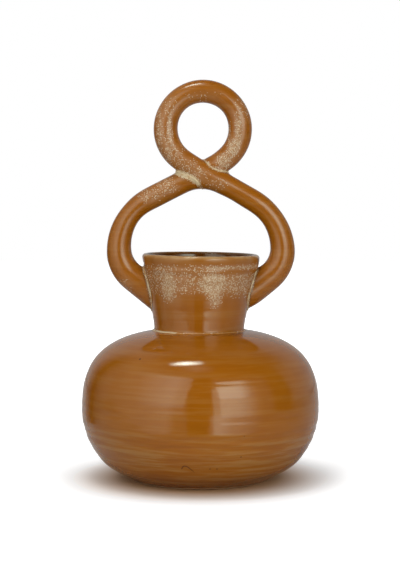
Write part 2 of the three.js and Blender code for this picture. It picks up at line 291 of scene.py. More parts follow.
globe = turned("globe", globe_contour, GLOBE_SIDES, globe_relief)
stand_in(globe, "thrown_body")

# %% [markdown]
# The neck is a second thrown piece: a collar that flares to a rounded lip. Two shallow finger
# grooves run round it under the lip. On the real vase the rim isn't level, the collar's foot sits a
# little to the left, and the wall bulges at the right, where the coil was pressed on. A collar that
# is only turned would look machined, so its points are sheared and pressed by those small amounts.

# %% Neck contour
NECK_FOOT_RADIUS = 34.3
NECK_WALL = 5.0
NECK_FLARE = 1.2
GROOVE_DROPS = (8.7, 14.8)
GROOVE_DEPTH = 0.35
GROOVE_HALF_WIDTH = 1.3
NECK_SINK = 0.3
WALL_STEPS, LIP_STEPS = 60, 24
NECK_SPACING, NECK_BLUR = 0.6, 0.4
LIP_HEIGHT = RIM_HEIGHT - NECK_WALL / 2


def neck_radius(height):
    climb = np.clip((height - NECK_FOOT) / (LIP_HEIGHT - NECK_FOOT), 0, 1)
    return NECK_FOOT_RADIUS + (RIM_RADIUS - NECK_FOOT_RADIUS) * climb ** NECK_FLARE


wall_heights = np.linspace(SEAT_HEIGHT - NECK_SINK, LIP_HEIGHT, WALL_STEPS)
groove = sum(hump(RIM_HEIGHT - wall_heights, drop, GROOVE_HALF_WIDTH) for drop in GROOVE_DROPS)
lip_angle = np.linspace(0, math.pi, LIP_STEPS)
lip = np.stack([np.cos(lip_angle) - 1, np.sin(lip_angle)], axis=1) * NECK_WALL / 2
neck_contour = softened(np.vstack([
    [(MOUTH_RADIUS, wall_heights[0])],
    np.stack([neck_radius(wall_heights) - GROOVE_DEPTH * groove, wall_heights], axis=1),
    lip + (RIM_RADIUS, LIP_HEIGHT),
    np.stack([neck_radius(wall_heights) - NECK_WALL, wall_heights], axis=1)[::-1],
]), NECK_SPACING, NECK_BLUR)
print(f"neck contour: {len(neck_contour)} points")

# %% Turn the neck, then let it lean
NECK_LINE_PITCH, NECK_LINE_DEPTH, NECK_LINE_TURN = 3.8, 0.11, 0.6
RIM_TILT, RIM_NOD = -0.0137, 0.008
NECK_LEAN, RIM_SHIFT = -0.9, 0.3
BULGE_HEIGHT, BULGE_HALF, BULGE_DEPTH, BULGE_NARROW = 162, 5.0, 1.3, 6
NECK_SIDES = 240
neck_wave, neck_turn = (wander(seed, NECK_LINE_PITCH) for seed in (8, 9))


def neck_lean(height):
    """How far to the right the collar's middle lies at a height."""
    return np.interp(height, (NECK_FOOT, RIM_HEIGHT), (NECK_LEAN, RIM_SHIFT))


def rim_rise(points):
    """How far the uneven rim lies above a level one."""
    return RIM_TILT * points[:, 0] + RIM_NOD * points[:, 1]


def neck_relief(contour, angle):
    height = contour[:, 1][:, None]
    is_outside = np.gradient(contour[:, 1])[:, None] > 0
    to_right = np.clip(np.cos(angle), 0, 1) ** BULGE_NARROW
    bulge = BULGE_DEPTH * hump(height, BULGE_HEIGHT, BULGE_HALF) * to_right
    lines = neck_wave(height) + NECK_LINE_TURN * neck_turn(height) * np.cos(angle)
    return NECK_LINE_DEPTH * lines + bulge * is_outside


neck = turned("neck", neck_contour[:-1], NECK_SIDES, neck_relief, is_loop=True)
places = points_mm(neck)
climb = (places[:, 2] - NECK_FOOT) / (RIM_HEIGHT - NECK_FOOT)
places[:, 2] += rim_rise(places) * climb ** 2
places[:, 0] += neck_lean(places[:, 2])
move_to(neck, places)
stand_in(neck, "thrown_neck")

# %% [markdown]
# The handle is one rolled coil. From the left root it swings out and up, crosses to the right,
# runs round the loop and comes back down to the right root. A curve with a round bevel would draw
# the coil, but its ends have to follow the neck's wall and its thickness swells towards the roots.
# So its middle line is drawn from lines and arcs, as the solid's is, and ringed in code.

# %% Middle line of the coil
ARM_STANDOFF, ARM_RISE = 17.8, 3.1
LOWER_BEND, UPPER_BEND = 25.8, 43.3
STUB_SLOPE = math.radians(36.5)
LOOP_RADIUS, LOOP_OFFSET = 28.4, 2.0
ARM_COIL, LOOP_COIL, ROOT_COIL = 8.4, 8.6, 12.3
ROOT_SWELL_LENGTH, ROOT_SWELL_POWER = 90.0, 1.5
ARM_REACH = RIM_RADIUS + ARM_STANDOFF
ARM_HEIGHT = RIM_HEIGHT + ARM_RISE
LOOP_HEIGHT = HANDLE_TOP - LOOP_RADIUS - LOOP_COIL
LEFT, RIGHT = -1, 1
BEND_STEPS = 80
COIL_SPACING, COIL_BLUR = 1.0, 2.5


def run_angle(side):
    """Angle at which an arm's upper bend lets go for its straight run to the loop."""
    across, up = side * LOOP_OFFSET - ARM_REACH + UPPER_BEND, LOOP_HEIGHT - ARM_HEIGHT
    return math.atan2(up, across) - math.acos((UPPER_BEND + LOOP_RADIUS) / math.hypot(across, up))


def arc(middle, radius, start, end):
    angle = np.linspace(start, end, BEND_STEPS)
    return np.stack([np.cos(angle), np.sin(angle)], axis=1) * radius + middle


def strand_line(side):
    """One half of the coil as (right, up) points, from inside the neck to the top of the loop."""
    lower = arc((ARM_REACH - LOWER_BEND, ARM_HEIGHT), LOWER_BEND, STUB_SLOPE - math.pi / 2, 0)
    root_out = NECK_FOOT_RADIUS - ROOT_COIL
    root_up = lower[0, 1] - (lower[0, 0] - root_out) * math.tan(STUB_SLOPE)
    angle = run_angle(side)
    upper = arc((ARM_REACH - UPPER_BEND, ARM_HEIGHT), UPPER_BEND, 0, angle)
    loop = arc((side * LOOP_OFFSET, LOOP_HEIGHT), LOOP_RADIUS, angle + math.pi, math.pi / 2)
    return np.vstack([[(root_out, root_up)], lower, upper[1:], loop]) * (side, 1)


whole_line = np.vstack([strand_line(LEFT), strand_line(RIGHT)[-2::-1]])
flat_line = softened(whole_line, COIL_SPACING, COIL_BLUR)
coil_along = np.arange(len(flat_line)) * np.linalg.norm(flat_line[1] - flat_line[0])
print(f"coil: {coil_along[-1]:.0f} mm of rolled clay")

# %% [markdown]
# Where the coil crosses itself the right arm's strand lies in front, and the two were pressed
# together until they merged. So each strand leaves the handle's plane by under two millimetres there,
# and comes back to it over a short height. Soft clay also sags and lifts a little from place to
# place. A sculpted mesh could show that, but named amounts at named places can be changed.

# %% Depth and sag of the coil
CROSSING_LAP, LAP_FADE = 3.3, 45.0
BEND_PITCH, BEND_WANDER = 40.0, 0.25
# Height over the arms' bends and sway to the right there, then each sag and its reach, in mm.
ARM_SWAY = [(0, 0.4), (35, -0.45), (59, 0)]
SAGS = [(0.8, 13.0), (0.25, 40.0)]
PINCH, PINCH_MIDDLE, PINCH_HALF, PINCH_WAY = 0.2, 12.0, 6.0, math.radians(40)
ARCH_LIFT, ARCH_MIDDLE, ARCH_HALF = 0.35, 28.0, 10.0
ROOT_LIFT, LIFT_MIDDLE, LIFT_HALF = 2.2, 8.0, 8.0
start_angle = run_angle(RIGHT)
run_start = ARM_REACH - UPPER_BEND + UPPER_BEND * math.cos(start_angle)
CROSSING_HEIGHT = ARM_HEIGHT + UPPER_BEND * math.sin(start_angle)
CROSSING_HEIGHT += (run_start - LOOP_OFFSET) / math.tan(start_angle)
from_crossing = np.hypot(flat_line[:, 0] - LOOP_OFFSET, flat_line[:, 1] - CROSSING_HEIGHT)
sway_up, sway_right = zip(*ARM_SWAY)
flat_line[:, 0] += np.interp(flat_line[:, 1] - ARM_HEIGHT, sway_up, sway_right)
for sag, sag_reach in SAGS:
    flat_line[:, 1] -= sag * hump(from_crossing, 0, sag_reach)
    CROSSING_HEIGHT -= sag
is_right = coil_along > coil_along[-1] / 2
pinch = PINCH * hump(from_crossing, PINCH_MIDDLE, PINCH_HALF)
pinch *= ~is_right & (flat_line[:, 0] > LOOP_OFFSET)
flat_line += pinch[:, None] * (math.sin(PINCH_WAY), -math.cos(PINCH_WAY))
arch = ARCH_LIFT * hump(from_crossing, ARCH_MIDDLE, ARCH_HALF)
arch *= is_right & (flat_line[:, 1] < CROSSING_HEIGHT)
flat_line[:, 1] += arch
from_root = np.minimum(coil_along, coil_along[-1] - coil_along)
flat_line[:, 1] += is_right * ROOT_LIFT * hump(from_root, LIFT_MIDDLE, LIFT_HALF)
away = np.minimum(1, np.abs(flat_line[:, 1] - CROSSING_HEIGHT) / LAP_FADE)
depth = np.where(is_right, -1, 1) * CROSSING_LAP / 4 * (1 + np.cos(math.pi * away))
depth += BEND_WANDER * wander(seed=12, pitch=BEND_PITCH)(coil_along)
coil_line = np.stack([flat_line[:, 0], depth, flat_line[:, 1]], axis=1)
print(f"the coil crosses itself {CROSSING_HEIGHT:.1f} mm up, {CROSSING_LAP} mm front to back")

# %% [markdown]
# Hands don't roll clay evenly. The coil is thickest at its roots, fuller at the arms and the limbs of
# the loop, and thinner where it was pinched and bent. A curve could carry a radius at each of its
# points, but here the same humps move the line and change the radius, so they stay together.

# %% Thickness of the coil
ROLL_PITCH, ROLL_DEPTH = 22.0, 0.14
ARM_EXTRA, EXTRA_MIDDLE, EXTRA_HALF = 0.4, 45.0, 30.0
LEFT_LIMB, RIGHT_LIMB, LIMB_HEIGHT, LIMB_HALF = 0.55, 0.2, 263.0, 18.0
ARM_THIN, THIN_MIDDLE, THIN_HALF = 0.4, 60.0, 12.0
climb = np.clip((coil_line[:, 2] - ARM_HEIGHT) / (LOOP_HEIGHT - ARM_HEIGHT), 0, 1)
swell = np.clip(1 - from_root / ROOT_SWELL_LENGTH, 0, 1) ** ROOT_SWELL_POWER
coil_radius = ARM_COIL + (LOOP_COIL - ARM_COIL) * climb + (ROOT_COIL - ARM_COIL) * swell
coil_radius += ROLL_DEPTH * wander(seed=13, pitch=ROLL_PITCH)(coil_along) - pinch - arch
coil_radius += ARM_EXTRA * hump(from_root, EXTRA_MIDDLE, EXTRA_HALF)
limb = np.where(flat_line[:, 0] < LOOP_OFFSET, LEFT_LIMB, RIGHT_LIMB)
coil_radius += limb * hump(flat_line[:, 1], LIMB_HEIGHT, LIMB_HALF)
arm_thin = ARM_THIN * hump(from_crossing, THIN_MIDDLE, THIN_HALF)
coil_radius -= arm_thin * (flat_line[:, 1] < CROSSING_HEIGHT)
print(f"the coil is {2 * coil_radius.min():.1f} to {2 * coil_radius.max():.1f} mm thick")

# %% Skin of the coil, from wall to wall
COIL_SIDES, RING_STEP = 56, 1.2
ROOT_SINK = 1.2
ROOT_STEPS_TRIED, ROOT_PART = 1200, 5
coil_heading = np.gradient(coil_line, axis=0)


def coil_skin(distance, around):
    """Points on the coil's skin at distances along it and angles round it."""
    middle, heading = (np.stack([np.interp(distance, coil_along, column) for column in line.T], axis=-1)
                       for line in (coil_line, coil_heading))
    heading = unit(heading)
    side = unit(np.cross(heading, (0, 1, 0)))
    back = np.cross(side, heading)
    radius = np.interp(distance, coil_along, coil_radius)[..., None]
    return middle + radius * (np.cos(around)[..., None] * side + np.sin(around)[..., None] * back)


def neck_gap(points):
    """Distance from points to the outside of the neck, which is less than 0 inside it."""
    out = np.hypot(points[..., 0] - neck_lean(points[..., 2]), points[..., 1]) - neck_radius(points[..., 2])
    return np.maximum(out, points[..., 2] - RIM_HEIGHT)


def wall_distance(around, from_end, sink):
    """Where lines along the coil's skin reach the neck, or so far inside its wall."""
    steps = np.linspace(0, coil_along[-1] / ROOT_PART, ROOT_STEPS_TRIED)[:, None]
    tried = coil_along[-1] - steps if from_end else steps
    is_inside = neck_gap(coil_skin(tried + 0 * around, around + 0 * steps)) < -sink
    last_inside = len(steps) - 1 - np.argmax(is_inside[::-1], axis=0)
    return tried[last_inside, 0]


around = full_turn(COIL_SIDES)
left_end = wall_distance(around, False, ROOT_SINK)
right_end = wall_distance(around, True, ROOT_SINK)
share = np.linspace(0, 1, int(coil_along[-1] / RING_STEP))[:, None]
handle = skin("handle", coil_skin(left_end + (right_end - left_end) * share, around + 0 * share))
stand_in(handle, "coil_handle")

# %% [markdown]
# Wet clay doesn't meet in sharp creases: the potter smeared every joint, and the glaze filled what
# was left. A boolean union with a bevel could round a crease, but it fails easily on fine meshes.
# Here the distances to both shapes are blended, and the points near the crease move out to the
# blended skin. The reach is how far from the crease the clay was moved.

# %% Clay that flows together
FLOW_ROUNDS, FLOW_STEP = 8, 0.01
INNER_REACH = 0.35


def coil_gap(middle, span):
    """A function for the distance from points to a stretch of the coil."""
    near = np.abs(coil_along - middle) < span

    def gap(points):
        return (np.linalg.norm(points[:, None, :] - coil_line[near], axis=2) - coil_radius[near]).min(axis=1)

    return gap


def soft_gap(points, gaps, reach):
    """Distance from points to the skin that two shapes share when they flow together."""
    own, other = (gap(points) for gap in gaps)
    share = np.clip(1 - np.abs(own - other) / reach, 0, 1)
    return np.minimum(own, other) - reach * share ** 2 / 4


def flow_out(points, gaps, reach):
    """Moves points out to that skin, and gives the way out of it at each."""
    for _ in range(FLOW_ROUNDS):
        here = soft_gap(points, gaps, reach)
        steps = FLOW_STEP * np.eye(3)
        way = unit(np.stack([soft_gap(points + step, gaps, reach) - here for step in steps], axis=1))
        points = points - here[:, None] * way
    return points, way


def flow(piece, own_gap, other_gap, reach_at):
    """Lets a piece's skin flow towards its neighbour, by a reach that a function gives."""
    places = points_mm(piece)
    reach, own = reach_at(places), own_gap(places)
    near = np.abs(own) < 1
    other = np.full(len(places), np.inf)
    other[near] = other_gap(places[near])
    near &= (other < reach) & (other > -INNER_REACH * reach)
    places[near] = flow_out(places[near], (own_gap, other_gap), reach[near])[0]
    move_to(piece, places)
    print(f"{piece.name}: {near.sum()} points flow together with their neighbour")


print(f"points near a joint move out to the shared skin in {FLOW_ROUNDS} rounds")

# %% Soft crossing, roots and seam
# Height over the crossing, and how far the clay flows together there, in mm.
CROSSING_FLOW = [(-9, 10.5), (0, 4.5), (9, 1.4)]
ROOT_FLOW, UNDER_FLOW, ROOT_MIDDLE = 2.5, -1.2, 148.0
SEAM_FLOW = 3.0
CROSSING_SPAN, ROOT_SPAN = 30.0, 60.0
is_at_crossing = np.hypot(coil_line[:, 0] - LOOP_OFFSET, coil_line[:, 2] - CROSSING_HEIGHT)
half = len(coil_along) // 2
strand_gaps = [coil_gap(coil_along[start + np.argmin(is_at_crossing[start:start + half])], CROSSING_SPAN)
               for start in (0, half)]
root_gaps = [coil_gap(end, ROOT_SPAN) for end in (0, coil_along[-1])]


def crossing_reach(points):
    """The crotch under the crossing was filled, and the corner over it was left sharp."""
    return np.interp(points[:, 2] - CROSSING_HEIGHT, *zip(*CROSSING_FLOW))


def root_reach(points):
    """The undersides of the roots were smeared less far than the rest."""
    return ROOT_FLOW + UNDER_FLOW * np.clip((ROOT_MIDDLE - points[:, 2]) / ROOT_COIL, 0, 1)


def seam_reach(points):
    return np.full(len(points), SEAM_FLOW)


def globe_gap(points):
    """Height of points over the globe's shoulder."""
    out = np.clip(np.hypot(points[:, 0], points[:, 1]), SEAT_RADIUS, BODY_RADIUS)
    return points[:, 2] - np.interp(out, shoulder[::-1, 0], shoulder[::-1, 1])


shoulder = belly_arc(BODY_RADIUS, SEAT_RADIUS, SEAT_HEIGHT, SHOULDER_SQUARENESS)
for own_gap, other_gap in (strand_gaps, strand_gaps[::-1]):
    flow(handle, own_gap, other_gap, crossing_reach)
for root_gap in root_gaps:
    flow(handle, root_gap, neck_gap, root_reach)
    flow(neck, neck_gap, root_gap, root_reach)
flow(neck, neck_gap, globe_gap, seam_reach)
flow(globe, globe_gap, neck_gap, seam_reach)

# %% [markdown]
# Slip was squeezed out of each joint and wiped flat, and shows as a thin cream line: round the foot
# of the neck, round both roots of the handle and in the crease where the coil crosses. A bevelled
# curve would lie there like a cord. These lines are flat rings along the real joint, wide and narrow
# by turns, and lie half sunk in the skin that the joint's two shapes share.

# %% Lines of slip
LINE_SIDES = 14
RAG_MM, RAGGED = 2.2, 0.35
STAIN_WANDER = 0.2


def mark(piece, name, values):
    layer = piece.data.attributes.new(name, "FLOAT", "POINT")
    layer.data.foreach_set("value", np.clip(values, 0, 1).astype(np.float32))


def slip_line(name, seed, line, outward, half_width, half_height, stain):
    """A closed flat ring along a line of points in mm. Its edges and its stain wander along it."""
    steps = np.linalg.norm(np.roll(line, -1, axis=0) - line, axis=1)
    lumps = round(steps.sum() / RAG_MM)
    waves = [wander(seed + edge, steps.sum() / lumps, lumps)(np.cumsum(steps)) for edge in (0, 1)]
    heading = unit(np.roll(line, -1, axis=0) - np.roll(line, 1, axis=0))
    outward = unit(outward - (outward * heading).sum(axis=1, keepdims=True) * heading)
    sideways = np.cross(heading, outward)
    turn = full_turn(LINE_SIDES)[None, :, None]
    one_edge, other_edge = ((half_width * (1 + RAGGED * wave))[:, None, None] for wave in waves)
    side = np.where(np.sin(turn) > 0, one_edge, other_edge) * np.sin(turn)
    up = half_height * np.cos(turn)
    rings = line[:, None, :] + up * outward[:, None, :] + side * sideways[:, None, :]
    ring = skin(name, rings, is_loop=True)
    mark(ring, "stain", np.repeat(stain + STAIN_WANDER * waves[0], LINE_SIDES))
    return ring


print(f"lines of slip: {LINE_SIDES} sides, and a new width about every {RAG_MM} mm")

# %% Slip round the neck's foot
SEAM_WIDTH, SEAM_HEIGHT, SEAM_STEPS = 0.56, 0.35, 360
WIDE_PLACE, WIDE_HALF, WIDER = -27.0, 11.0, 0.7
SEAM_STAIN, WIDE_CLEAN, SEAM_SEED = 0.9, 0.75, 21
seam_turn = full_turn(SEAM_STEPS)
seam_circle = NECK_FOOT_RADIUS * np.stack([np.cos(seam_turn), np.sin(seam_turn), 0 * seam_turn], axis=1)
seam_circle += (NECK_LEAN, 0, SEAT_HEIGHT)
seam_line, seam_out = flow_out(seam_circle, (neck_gap, globe_gap), SEAM_FLOW)
wide = hump(seam_line[:, 0], WIDE_PLACE, WIDE_HALF)
seam_width, seam_stain = SEAM_WIDTH * (1 + WIDER * wide), SEAM_STAIN - WIDE_CLEAN * wide
neck_slip = slip_line("neck_slip", SEAM_SEED, seam_line, seam_out, seam_width, SEAM_HEIGHT, seam_stain)
stand_in(neck_slip, "neck_seam_slip")

# %% Slip round the handle's roots
ROOT_WIDTH, ROOT_HEIGHT, ROOT_STEPS = 0.58, 0.35, 160
ROOT_STAIN, ROOT_SEED = 0.4, 31
root_turn = full_turn(ROOT_STEPS)
root_lines, root_slips = [], []
for number, side in enumerate(("left", "right")):
    crease = coil_skin(wall_distance(root_turn, number == 1, 0), root_turn)
    root_line, root_out = flow_out(crease, (root_gaps[number], neck_gap), root_reach(crease))
    root_lines.append(root_line)
    root_slips.append(slip_line(
        f"{side}_slip", ROOT_SEED + 2 * number, root_line, root_out, ROOT_WIDTH, ROOT_HEIGHT, ROOT_STAIN))
    stand_in(root_slips[-1], f"{side}_root_slip")

# %% [markdown]
# The crease at the crossing is the line where two equal tubes meet. Each point of it is found from
# how far it lies across the front strand and across the back one, which the tubes' radius gives.
# The slip there is widest from the notch at the left to near the middle.

# %% Slip in the crossing's crease
CROSSING_WIDTH, CROSSING_HEIGHT_OUT = 0.25, 0.3
LEFT_WIDTH, RIGHT_WIDTH, TAPER = 1.9, 0.55, 5.0
CREASE_STEPS = 200
CREASE_SHARE, CREASE_STAIN, TAPER_CLEAN, CREASE_SEED = 0.45, 0.45, 0.25, 41
crease_coil = (ARM_COIL + LOOP_COIL) / 2
front, rear = run_angle(RIGHT), run_angle(LEFT)
crease_start = math.asin(CROSSING_LAP / crease_coil - 1)
crease_turn = full_turn(CREASE_STEPS)
crease_around = crease_start + (math.pi - 2 * crease_start) * (1 - np.cos(crease_turn)) / 2
crease_depth = crease_coil * np.sin(crease_around) - CROSSING_LAP / 2
across_front = crease_coil * np.cos(crease_around)
across_rear = np.sqrt(np.maximum(0, crease_coil ** 2 - (crease_depth - CROSSING_LAP / 2) ** 2))
across_rear = np.where(crease_turn < math.pi, across_rear, -across_rear)
crease_right = (across_front * math.sin(rear) - across_rear * math.sin(front)) / math.sin(front + rear)
crease_up = (across_front * math.cos(rear) + across_rear * math.cos(front)) / math.sin(front + rear)
crease_line = np.stack([LOOP_OFFSET + crease_right, crease_depth, CROSSING_HEIGHT + crease_up], axis=1)
crease_line, crease_out = flow_out(crease_line, strand_gaps, crossing_reach(crease_line))
taper = np.clip(np.abs(crease_right) / TAPER, 0, 1)
crease_width = CROSSING_WIDTH + np.where(crease_right < 0, LEFT_WIDTH, RIGHT_WIDTH) * taper
crossing_slip = slip_line(
    "crossing_slip_line", CREASE_SEED, crease_line, crease_out, CREASE_SHARE * crease_width,
    CROSSING_HEIGHT_OUT, CREASE_STAIN - TAPER_CLEAN * taper)
stand_in(crossing_slip, "crossing_slip")

# %% [markdown]
# The potter wiped some of the slip over the clay on both sides of the roots and the crossing. That
# film is too thin for a mesh of its own, so the points near a line carry a value for it, and the
# glaze's finish tears its edge. A second value is painted shade in the crevices beside the slip.

# %% Slip wiped over the clay, and painted shade beside it
ROOT_FILM, FILM_SOFT, FILM_LIMIT, CREASE_SHADE_MM = 0.6, 0.5, 50, 1.2
ROOT_SHADE, CROSSING_SHADE = 0.9, 0.3
wiped_lines = [(crease_line, crease_width, CROSSING_SHADE + 0 * crease_width)]
for line in root_lines:
    wiped_lines.append((line, np.full(ROOT_STEPS, ROOT_FILM), np.full(ROOT_STEPS, ROOT_SHADE)))
wiped_line, wiped_width, crease_shade_share = (np.concatenate(column) for column in zip(*wiped_lines))
nearest_slip = KDTree(len(wiped_line))
for number, point in enumerate(wiped_line):
    nearest_slip.insert(point, number)
nearest_slip.balance()
for piece in (handle, neck):
    found = np.array([nearest_slip.find(point)[1:] for point in points_mm(piece)])
    number = found[:, 0].astype(int)
    beyond = found[:, 1] - wiped_width[number]
    mark(piece, "film", 1 / (1 + np.exp(np.minimum(beyond / FILM_SOFT, FILM_LIMIT))))
    mark(piece, "crease_shade", crease_shade_share[number] * hump(np.maximum(beyond, 0), 0, CREASE_SHADE_MM))
    print(f"{piece.name}: slip wiped over {(beyond < 0).sum()} points")

# %% [markdown]
# Colours are written as the sRGB hex values that the eye reads off the vase, and one function turns
# them to the linear values that shaders use. One more adds a node, sets it up and links it. A node
# that feeds another is named as it is, and its first output in use is taken.

# %% Colours and nodes
MIX_FACTOR, MIX_A, MIX_B = 0, 6, 7
COLOURS, SMOOTH = {"data_type": "RGBA"}, {"interpolation_type": "SMOOTHSTEP"}
TIMES, TIMES_PLUS = {"operation": "MULTIPLY"}, {"operation": "MULTIPLY_ADD"}
MINUS, LARGEST, SMALLEST = {"operation": "SUBTRACT"}, {"operation": "MAXIMUM"}, {"operation": "MINIMUM"}


def srgb(code):
    """Linear red, green and blue, and full cover, from a hex code, by the curve of the sRGB standard."""
    parts = [int(code[start:start + 2], 16) / 255 for start in (1, 3, 5)]
    linear = [part / 12.92 if part <= 0.04045 else ((part + 0.055) / 1.055) ** 2.4 for part in parts]
    return (*linear, 1.0)


def add(tree, kind, settings=None, inputs=None):
    """Adds a node with its settings. An input is a value, or the node or output that feeds it."""
    node = tree.nodes.new("ShaderNode" + kind)
    for name, value in (settings or {}).items():
        setattr(node, name, value)
    for name, value in (inputs or {}).items():
        if isinstance(value, bpy.types.Node):
            value = next(output for output in value.outputs if output.enabled)
        if isinstance(value, bpy.types.NodeSocket):
            tree.links.new(value, node.inputs[name])
        else:
            node.inputs[name].default_value = value
    return node


def new_finish(name):
    finish = bpy.data.materials.new(name)
    finish.use_nodes = True
    finish.node_tree.nodes.clear()
    return finish, finish.node_tree


print("mid grey in linear values:", [round(part, 3) for part in srgb("#808080")])

# %% [markdown]
# Cream crystals bloomed in the glaze where it lay thick and cooled slowly: on the neck, on both
# sides of the loop and round the crossing. Where they lie belongs to this vase and not to the
# finish, so it is kept on the points as a value from 0 to 1, made of soft round patches. A painted
# picture could hold it too, but then the skins would have to be unwrapped.

# %% Where the crystals bloomed
# Each patch: its middle to the right and up, its half width and half height in mm, and its strength.
# The last loop patch, across the top of the loop, is partly crystal haze and partly painted highlight for
# the soft shine there.
LOOP_PATCHES = [
    (-31, 264, 2.6, 22, 0.5), (-23.4, 261, 2.8, 19, 0.55), (-27, 258, 7, 25, 0.15), (-20, 246, 9, 8, 0.4),
    (-24, 284, 7, 8, 0.25), (28.5, 263, 3, 14, 0.75), (25, 251, 5, 7, 0.85), (18, 241, 7, 6, 0.75),
    (22, 245, 5, 5, 0.2), (31, 280, 6, 12, 0.35), (22, 262, 1.4, 10, 0.6), (3, 290, 16, 5, 0.2)]
CROSSING_PATCHES = [
    (-1, 231, 8, 6, 0.5), (-9, 238, 8, 6, 0.45), (13, 224, 9, 5, 0.35), (-25, 222, 9, 7, 0.5),
    (-38, 215, 9, 6, 0.5), (-57, 147, 6, 7, 0.3)]


def patches(places, spots):
    """Soft round patches that add up, seen from the front, so that they cover front and back alike."""
    clear = np.ones(len(places))
    for right, up, wide, tall, strength in spots:
        far = ((places[:, 0] - right) / wide) ** 2 + ((places[:, 2] - up) / tall) ** 2
        clear *= 1 - strength * np.exp(-far ** 2)
    return 1 - clear


mark(handle, "bloom", patches(points_mm(handle), LOOP_PATCHES + CROSSING_PATCHES))
mark(handle, "rolled", np.ones(len(handle.data.vertices)))
print("crystal patches on the handle:", len(LOOP_PATCHES) + len(CROSSING_PATCHES))

# %% [markdown]
# On the neck the crystals make a field with a ragged lower edge, a thinner veil above it and a band
# under the lip at the right. Between the field and the band the amber shows in a narrow gap.

# %% Crystals on the neck
NECK_PATCHES = [
    (-23.5, 147.4, 5, 12, 0.85), (9, 150, 9.5, 9, 0.92), (11, 138.5, 5, 7, 0.65), (-9, 149, 10, 7, 0.25),
    (27, 150, 10, 7, 0.3), (-29, 158, 9, 4, 0.25)]
FIELD_LOW, FIELD_HIGH, FIELD_SHARE, FIELD_SOFT = 142.0, 157.5, 0.5, 2.2
FIELD_RAG, FIELD_RAG_PITCH = 2.5, 9.0
VEIL_LAP, VEIL_HIGH, VEIL_SHARE, VEIL_SOFT = 2.0, 164.3, 0.3, 0.6
BAND_LOW, BAND_SHARE, BAND_SOFT = 160.6, 0.6, 0.4
GAP_LOW, GAP_LEFT, GAP_SHARE, GAP_ELSEWHERE, GAP_SOFT = 157.6, 16.0, 0.85, 0.15, 0.35
FAR_RIGHT, SIDE_SOFT = 2 * RIM_RADIUS, 2.5


def within(values, low, high, soft):
    """1 between two limits and 0 outside them, with soft edges."""
    return 1 / (1 + np.exp((low - values) / soft)) / (1 + np.exp((values - high) / soft))


neck_places = points_mm(neck)
neck_right = neck_places[:, 0]
rise = neck_places[:, 2] - rim_rise(neck_places)
ragged_low = FIELD_LOW + FIELD_RAG * wander(seed=17, pitch=FIELD_RAG_PITCH)(neck_right)
field = FIELD_SHARE * within(rise, ragged_low, FIELD_HIGH, FIELD_SOFT)
veil = VEIL_SHARE * within(rise, FIELD_HIGH - VEIL_LAP, VEIL_HIGH, VEIL_SOFT)
gap = np.interp(within(neck_right, GAP_LEFT, FAR_RIGHT, SIDE_SOFT), (0, 1), (GAP_ELSEWHERE, GAP_SHARE))
gap *= within(rise, GAP_LOW, BAND_LOW, GAP_SOFT)
band = BAND_SHARE * within(neck_right, 0, FAR_RIGHT, SIDE_SOFT)
band *= within(rise, BAND_LOW, VEIL_HIGH, BAND_SOFT)
clear = (1 - field) * (1 - veil) * (1 - patches(neck_places, NECK_PATCHES)) * (1 - band)
mark(neck, "bloom", (1 - clear) * (1 - gap))
print("crystal patches on the neck:", len(NECK_PATCHES))

# %% [markdown]
# Glaze runs off sharp edges in the kiln, and the pale clay shows through where it is thin. On this
# vase that is the top of the lip, so the lip's points carry a second value for it. Inside the neck
# and the globe little light reaches, so the glaze there is painted darker as shade, and that is a
# third value.

# %% Where the glaze is thin, and painted shade inside
LIP_THIN, LIP_WASH, WASH_SHARE = 1.6, 5.0, 0.22
INSIDE_SHADE_SOFT, HOLLOW_MARGIN = 2.0, 1.0
below_lip = np.abs(rise - RIM_HEIGHT)
mark(neck, "thin", hump(below_lip, 0, LIP_THIN) + WASH_SHARE * np.exp(-(below_lip / LIP_WASH) ** 4))
from_axis = np.hypot(neck_right - neck_lean(neck_places[:, 2]), neck_places[:, 1])
mark(neck, "inside_shade", (neck_radius(neck_places[:, 2]) - from_axis - NECK_WALL / 2) / INSIDE_SHADE_SOFT)
globe_places = points_mm(globe)
hollow_radius = np.interp(globe_places[:, 2], hollow[::-1, 1], hollow[::-1, 0])
is_within = np.hypot(*globe_places.T[:2]) < hollow_radius + HOLLOW_MARGIN
is_within &= globe_places[:, 2] > FOOT_RECESS + FLOOR_THICKNESS / 2
is_within &= globe_places[:, 2] < SEAT_HEIGHT - BODY_WALL / 2
mark(globe, "inside_shade", is_within)
print(f"thin glaze within {LIP_THIN} mm of the lip")
print(f"dark glaze inside on {is_within.sum()} points of the globe")

# %% [markdown]
# Amber glaze: an iron glaze on stoneware, dipped and fired glossy. To the eye it is a honey brown
# that turns to ochre and dark brown in level streaks low on the globe, where the throwing rings let
# it pool, and it turns darker towards the foot. A picture of streaks could be wrapped round the
# globe, but noise that is stretched level has no seam and follows the wheel. Each further look of the
# glaze is a coat with its own share and colour, and the coats are laid on in order.

# %% Amber glaze: streaks
STREAK_MM, STREAK_STRETCH, CLOUD_MM = 3.2, 0.06, 38.0
STREAKS_FROM, STREAKS_FULL, STREAKS_ABOVE = 54.0, 27.0, 0.3
